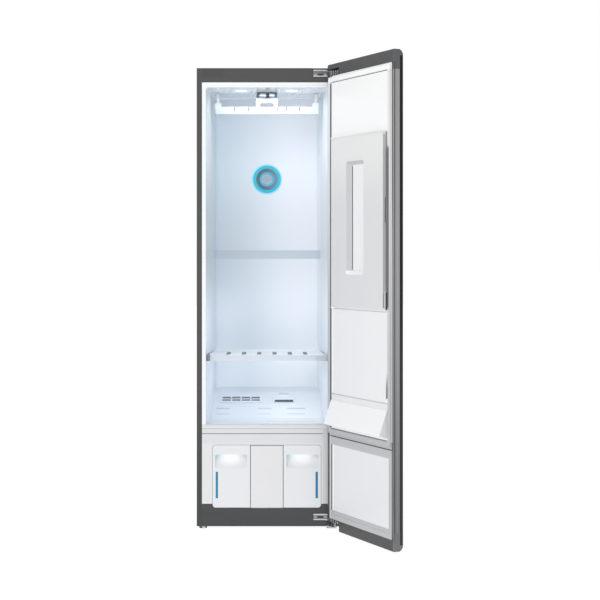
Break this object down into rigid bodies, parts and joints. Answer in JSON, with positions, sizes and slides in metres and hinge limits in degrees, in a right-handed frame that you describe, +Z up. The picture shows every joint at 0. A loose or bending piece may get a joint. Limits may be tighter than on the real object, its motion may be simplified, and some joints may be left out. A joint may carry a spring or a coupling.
{
  "type": "clothes care steam cabinet",
  "caption": "Tall floor-standing steam closet: heated chamber with shaking hanger bar and shelf, pull-out water tanks, and a hinged door that carries a trouser press.",
  "frame": {"origin": "on the floor, under the middle of the rear skid; the cabinet's front plane lies at y = -0.506", "axes": "+Z up, +Y from the front plane towards the back, +X to the hinge side of the door"},
  "size_m": [0.8297, 1.1279, 1.968],
  "materials": {
    "dark_steel": "satin dark grey",
    "dark_trim": "satin dark grey",
    "zinc_steel": "galvanised",
    "chamber_white": "satin white",
    "lamp_white": "frosted lens",
    "diffuser_grey": "satin blue grey",
    "mesh_grey": "etched mesh",
    "light_cyan": "lit cyan light guide",
    "chrome": "bright chrome",
    "motor_case": "cast",
    "white_plastic": "satin white",
    "pale_panel": "satin pale grey",
    "grey_frame": "satin grey",
    "duct_grey": "matt",
    "coil_metal": "bare fins",
    "black_steel": "black enamel",
    "bright_steel": "zinc plated",
    "foot_steel": "zinc plated",
    "rocker_black": "matt black",
    "dark_glass": "back-painted dark glass",
    "rail_aluminium": "dark anodised",
    "foam": "rigid foam",
    "press_grey": "satin light grey",
    "press_white": "satin white",
    "level_blue": "clear blue",
    "vessel_clear": "translucent"
  },
  "bodies": {
    "cabinet": {"side_panel_left": "dark_steel", "side_panel_right": "dark_steel", "top_panel": "dark_steel", "back_panel": "dark_steel", "base_pan": "zinc_steel", "top_band": "dark_trim", "kick_panel": "dark_trim", "chamber_liner": "chamber_white", "ceiling_lamps": "lamp_white", "diffuser_housing": "diffuser_grey", "diffuser_mesh": "mesh_grey", "diffuser_light_ring": "light_cyan", "hanger_dome": "chrome", "hanger_motor": "motor_case", "steam_outlet": "white_plastic", "lower_front_panel": "white_plastic", "tank_bay": "white_plastic", "air_duct": "duct_grey", "evaporator": "coil_metal", "condenser": "coil_metal", "blower_motor": "motor_case", "compressor": "black_steel", "steam_generator": "duct_grey", "water_pump": "duct_grey", "drain_pump": "duct_grey", "control_box": "duct_grey", "power_inlet": "duct_grey", "hinge_bracket_top": "bright_steel", "hinge_bracket_bottom": "bright_steel", "hinge_screws": "bright_steel"},
    "door": {"door_hinge_block_top": "bright_steel", "door_hinge_block_bottom": "bright_steel", "door_glass": "dark_glass", "door_top_cap": "dark_trim", "door_bottom_cap": "dark_trim", "door_rail_hinge": "rail_aluminium", "door_rail_free": "rail_aluminium", "door_core": "foam", "door_liner_upper": "white_plastic", "door_liner_lower": "grey_frame", "door_inset_panel": "pale_panel", "door_gasket": "grey_frame", "press_base": "press_white", "press_sheet": "white_plastic", "drip_flap": "white_plastic"},
    "press_cover": {"press_cover": "press_grey"},
    "hanger": {"hanger_bar": "white_plastic", "hanger_yoke": "white_plastic"},
    "rocker": {"hanger_rocker": "rocker_black"},
    "shelf": {"shelf": "white_plastic"},
    "lint_filter": {"lint_filter": "white_plastic"},
    "blower_wheel": {"blower_wheel": "duct_grey"},
    "tank_left": {"tank_left_front": "white_plastic", "tank_left_window": "level_blue", "tank_left_vessel": "vessel_clear"},
    "tank_right": {"tank_right_front": "white_plastic", "tank_right_window": "level_blue", "tank_right_vessel": "vessel_clear"},
    "foot_left": {"foot_front_left": "foot_steel"},
    "foot_right": {"foot_front_right": "foot_steel"}
  },
  "joints": [
    {"name": "door_hinge", "type": "hinge", "parent": "cabinet", "child": "door", "pos_m": [0.286, -0.54, 0.02], "axis": [0, 0, 1], "range_deg": [-113.5, 6.5]},
    {"name": "press_cover_hinge", "type": "hinge", "parent": "door", "child": "press_cover", "pos_m": [0.27516, -0.62541, 0.953], "axis": [0, 0, -1], "range_deg": [0, 95]},
    {"name": "hanger_slide", "type": "slide", "parent": "cabinet", "child": "hanger", "axis": [1, 0, 0], "range_m": [-0.00837, 0.00837]},
    {"name": "rocker_swing", "type": "hinge", "parent": "cabinet", "child": "rocker", "pos_m": [0, -0.266, 1.868], "axis": [0, -1, 0], "range_deg": [-18.5, 18.5]},
    {"name": "shelf_slide", "type": "slide", "parent": "cabinet", "child": "shelf", "axis": [0, -1, 0], "range_m": [0, 0.4]},
    {"name": "filter_lift", "type": "slide", "parent": "cabinet", "child": "lint_filter", "axis": [0, 0, 1], "range_m": [0, 0.12]},
    {"name": "tank_left_slide", "type": "slide", "parent": "cabinet", "child": "tank_left", "axis": [0, -1, 0], "range_m": [0, 0.28]},
    {"name": "tank_right_slide", "type": "slide", "parent": "cabinet", "child": "tank_right", "axis": [0, -1, 0], "range_m": [0, 0.28]},
    {"name": "blower_spin", "type": "hinge", "parent": "cabinet", "child": "blower_wheel", "pos_m": [0.052, -0.106, 0.335], "axis": [0, 1, 0], "continuous": true},
    {"name": "foot_left_turn", "type": "hinge", "parent": "cabinet", "child": "foot_left", "pos_m": [-0.272, -0.468, 0], "axis": [0, 0, 1], "continuous": true},
    {"name": "foot_right_turn", "type": "hinge", "parent": "cabinet", "child": "foot_right", "pos_m": [0.272, -0.468, 0], "axis": [0, 0, 1], "continuous": true}
  ],
  "couplings": [
    {"joint": "rocker_swing", "follows": "hanger_slide", "rad_per_m": 38.46}
  ]
}
